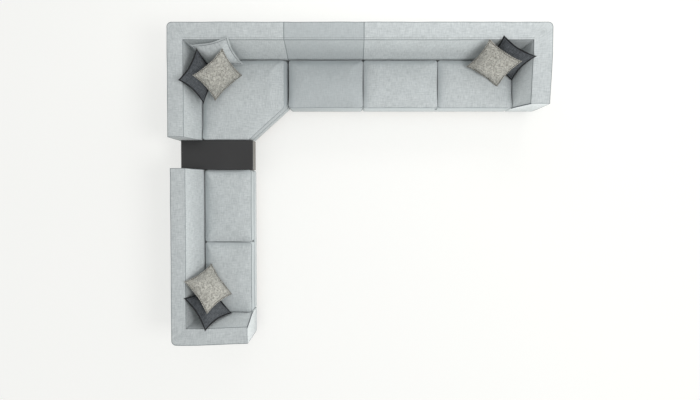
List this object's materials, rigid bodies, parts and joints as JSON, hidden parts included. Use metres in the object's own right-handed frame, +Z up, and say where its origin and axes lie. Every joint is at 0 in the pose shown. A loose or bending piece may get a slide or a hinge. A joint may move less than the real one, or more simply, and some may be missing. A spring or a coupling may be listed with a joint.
{
  "type": "l-shaped sofa",
  "caption": "L-shaped modular corner sofa with fixed padded backs, arms at both ends, loose seat cushions, a dark side console and stacked scatter pillows.",
  "frame": {"origin": "on the floor under the middle of the plan of the whole group", "axes": "+X along the rear run towards its arm, +Y from the open side to the rear backs, +Z up"},
  "size_m": [4.406, 3.716, 0.8994],
  "materials": {
    "upholstery": "light blue-grey woven fabric, matt",
    "dark_fabric": "slate woven fabric, matt",
    "patterned_fabric": "beige and dark grey small basket weave, matt",
    "timber": "sawn pine, unfinished",
    "webbing": "elastic upholstery webbing",
    "lacquer": "near-black satin lacquer",
    "oak_grey": "pale warm grey, matt",
    "black_metal": "black powder coat, satin",
    "steel": "zinc plated"
  },
  "bodies": {
    "sofa_frame": {"corner_back_cover": "upholstery", "corner_rear_frame": "timber", "corner_side_frame": "timber", "corner_base_frame": "timber", "corner_skirt": "upholstery", "corner_webbing": "webbing", "corner_foot_1": "black_metal", "corner_foot_2": "black_metal", "corner_foot_3": "black_metal", "corner_foot_4": "black_metal", "corner_single_link": "steel", "single_back_cover": "upholstery", "single_back_frame": "timber", "single_base_frame": "timber", "single_skirt": "upholstery", "single_webbing": "webbing", "single_foot_1": "black_metal", "single_foot_2": "black_metal", "single_foot_3": "black_metal", "single_foot_4": "black_metal", "single_right_end_link": "steel", "right_end_back_and_arm_cover": "upholstery", "right_end_back_frame": "timber", "right_end_arm_frame": "timber", "right_end_base_frame": "timber", "right_end_skirt": "upholstery", "right_end_webbing": "webbing", "right_end_foot_1": "black_metal", "right_end_foot_2": "black_metal", "right_end_foot_3": "black_metal", "right_end_foot_4": "black_metal", "right_end_foot_5": "black_metal", "left_end_back_and_arm_cover": "upholstery", "left_end_back_frame": "timber", "left_end_arm_frame": "timber", "left_end_base_frame": "timber", "left_end_skirt": "upholstery", "left_end_webbing": "webbing", "left_end_foot_1": "black_metal", "left_end_foot_2": "black_metal", "left_end_foot_3": "black_metal", "left_end_foot_4": "black_metal", "left_end_foot_5": "black_metal", "console_top": "lacquer", "console_carcass": "oak_grey", "console_front": "oak_grey", "console_stand": "black_metal"},
    "corner_seat": {"corner_seat_cushion": "upholstery"},
    "single_seat": {"single_seat_cushion": "upholstery"},
    "right_end_inner_seat": {"right_end_seat_cushion_inner": "upholstery"},
    "right_end_arm_seat": {"right_end_seat_cushion_arm": "upholstery"},
    "left_end_inner_seat": {"left_end_seat_cushion_inner": "upholstery"},
    "left_end_arm_seat": {"left_end_seat_cushion_arm": "upholstery"},
    "corner_light": {"corner_light_pillow": "upholstery"},
    "corner_dark": {"corner_dark_pillow": "dark_fabric"},
    "corner_patterned": {"corner_patterned_pillow": "patterned_fabric"},
    "right_end_dark": {"right_end_dark_pillow": "dark_fabric"},
    "right_end_patterned": {"right_end_patterned_pillow": "patterned_fabric"},
    "left_end_dark": {"left_end_dark_pillow": "dark_fabric"},
    "left_end_patterned": {"left_end_patterned_pillow": "patterned_fabric"}
  },
  "joints": [
    {"name": "corner_seat_lift", "type": "slide", "parent": "sofa_frame", "child": "corner_seat", "axis": [0, 0, 1], "range_m": [0, 0.55]},
    {"name": "single_seat_lift", "type": "slide", "parent": "sofa_frame", "child": "single_seat", "axis": [0, 0, 1], "range_m": [0, 0.55]},
    {"name": "right_end_inner_seat_lift", "type": "slide", "parent": "sofa_frame", "child": "right_end_inner_seat", "axis": [0, 0, 1], "range_m": [0, 0.55]},
    {"name": "right_end_arm_seat_lift", "type": "slide", "parent": "sofa_frame", "child": "right_end_arm_seat", "axis": [0, 0, 1], "range_m": [0, 0.55]},
    {"name": "left_end_inner_seat_lift", "type": "slide", "parent": "sofa_frame", "child": "left_end_inner_seat", "axis": [0, 0, 1], "range_m": [0, 0.55]},
    {"name": "left_end_arm_seat_lift", "type": "slide", "parent": "sofa_frame", "child": "left_end_arm_seat", "axis": [0, 0, 1], "range_m": [0, 0.55]},
    {"name": "corner_light_lift", "type": "slide", "parent": "corner_seat", "child": "corner_light", "axis": [0, 0, 1], "range_m": [0, 0.45]},
    {"name": "corner_dark_lift", "type": "slide", "parent": "corner_light", "child": "corner_dark", "axis": [0, 0, 1], "range_m": [0, 0.45]},
    {"name": "corner_patterned_lift", "type": "slide", "parent": "corner_dark", "child": "corner_patterned", "axis": [0, 0, 1], "range_m": [0, 0.45]},
    {"name": "right_end_dark_lift", "type": "slide", "parent": "right_end_arm_seat", "child": "right_end_dark", "axis": [0, 0, 1], "range_m": [0, 0.45]},
    {"name": "right_end_patterned_lift", "type": "slide", "parent": "right_end_dark", "child": "right_end_patterned", "axis": [0, 0, 1], "range_m": [0, 0.45]},
    {"name": "left_end_dark_lift", "type": "slide", "parent": "left_end_arm_seat", "child": "left_end_dark", "axis": [0, 0, 1], "range_m": [0, 0.45]},
    {"name": "left_end_patterned_lift", "type": "slide", "parent": "left_end_dark", "child": "left_end_patterned", "axis": [0, 0, 1], "range_m": [0, 0.45]}
  ]
}
